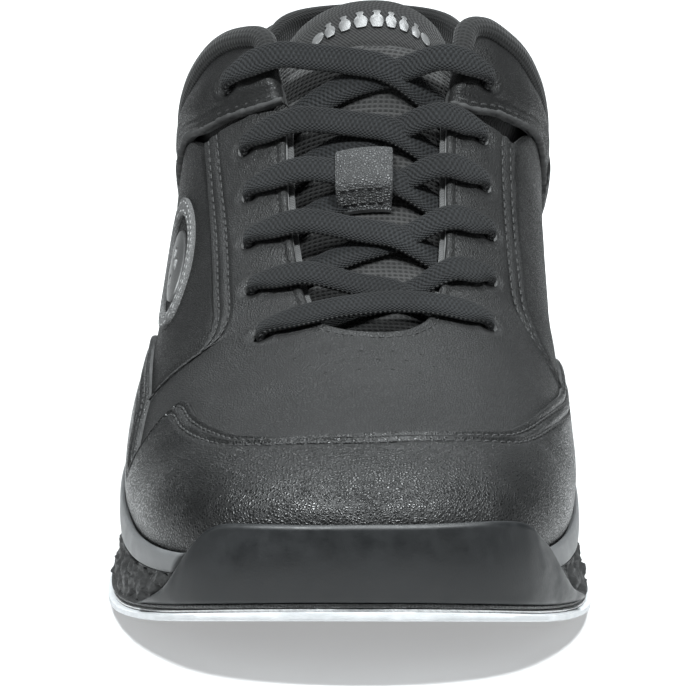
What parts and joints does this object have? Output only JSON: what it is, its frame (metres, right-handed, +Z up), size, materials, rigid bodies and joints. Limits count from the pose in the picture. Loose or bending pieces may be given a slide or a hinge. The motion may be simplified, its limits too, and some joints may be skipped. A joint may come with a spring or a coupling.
{
  "type": "bowling shoe",
  "caption": "Low lace-up right bowling shoe with padded collar, tongue, toe guard, and a slide sole and heel pad that peel off.",
  "frame": {"origin": "on the floor, under the middle of the shoe's bounding box", "axes": "+Z up, the toe points along -Y, the outer side of the right foot is towards -X"},
  "size_m": [0.1178, 0.3018, 0.1237],
  "materials": {
    "vamp_leather": "soft black leather with a fine pebble grain",
    "overlay_leather": "glossier black leather with a coarser pebble grain",
    "quarter_leather": "black leather",
    "ring_leather": "charcoal synthetic leather with a light stitch line",
    "keeper_leather": "charcoal pearl-grained leather",
    "badge_print": "silver print",
    "lining_fabric": "brushed black lining",
    "vamp_lining_fabric": "dark textile lining",
    "tongue_fabric": "black woven fabric",
    "foam": "soft open foam",
    "lace_fabric": "flat woven black lace",
    "aglet_plastic": "smooth",
    "stiffener": "thermoplastic sheet",
    "backing_tape": "woven tape",
    "board": "pressed fibre board",
    "sock_fabric": "textile over foam",
    "shank_steel": "spring steel",
    "midsole_rubber": "black, rock-like texture on the sides",
    "rim_rubber": "grey, smooth",
    "guard_rubber": "dark grey, smooth, satin",
    "hook_tape": "hook tape",
    "loop_tape": "loop tape",
    "slide_fibre": "white microfibre",
    "heel_rubber": "white ribbed rubber"
  },
  "bodies": {
    "shoe": {"vamp": "vamp_leather", "vamp_lining": "vamp_lining_fabric", "toe_overlay": "overlay_leather", "toe_puff": "stiffener", "quarter_lateral": "quarter_leather", "quarter_medial": "quarter_leather", "collar_wing_lateral": "overlay_leather", "collar_wing_medial": "overlay_leather", "collar_band": "quarter_leather", "collar_foam": "foam", "quarter_lining": "lining_fabric", "heel_overlay": "overlay_leather", "heel_counter": "stiffener", "eyestay_backing_lateral": "backing_tape", "eyestay_backing_medial": "backing_tape", "tongue_face": "tongue_fabric", "tongue_foam": "foam", "lace_keeper": "keeper_leather", "lace": "lace_fabric", "lace_tail_lateral": "lace_fabric", "lace_tail_medial": "lace_fabric", "aglet_lateral": "aglet_plastic", "aglet_medial": "aglet_plastic", "emblem_ring": "ring_leather", "emblem_ball": "ring_leather", "strobel_board": "board", "sock_liner": "sock_fabric", "shank": "shank_steel", "midsole": "midsole_rubber", "midsole_rim": "rim_rubber", "toe_guard": "guard_rubber", "slide_sole_hook_sheet": "hook_tape", "heel_hook_sheet": "hook_tape"},
    "tongue_end": {"tongue_flap_face": "tongue_fabric", "tongue_flap_foam": "foam", "tongue_badge": "badge_print"},
    "slide_sole": {"slide_sole": "slide_fibre", "slide_sole_loop_sheet": "loop_tape"},
    "heel_pad": {"heel_pad": "heel_rubber", "heel_loop_sheet": "loop_tape"}
  },
  "joints": [
    {"name": "tongue_bend", "type": "hinge", "parent": "shoe", "child": "tongue_end", "pos_m": [0.0066, 0.03671, 0.11238], "axis": [1, 0, 0], "range_deg": [-20, 25], "stiffness_Nm_per_rad": 0.02},
    {"name": "slide_sole_peel", "type": "slide", "parent": "shoe", "child": "slide_sole", "axis": [0, 0, -1], "range_m": [0, 0.04]},
    {"name": "heel_pad_peel", "type": "slide", "parent": "shoe", "child": "heel_pad", "axis": [0, 0, -1], "range_m": [0, 0.04]}
  ]
}
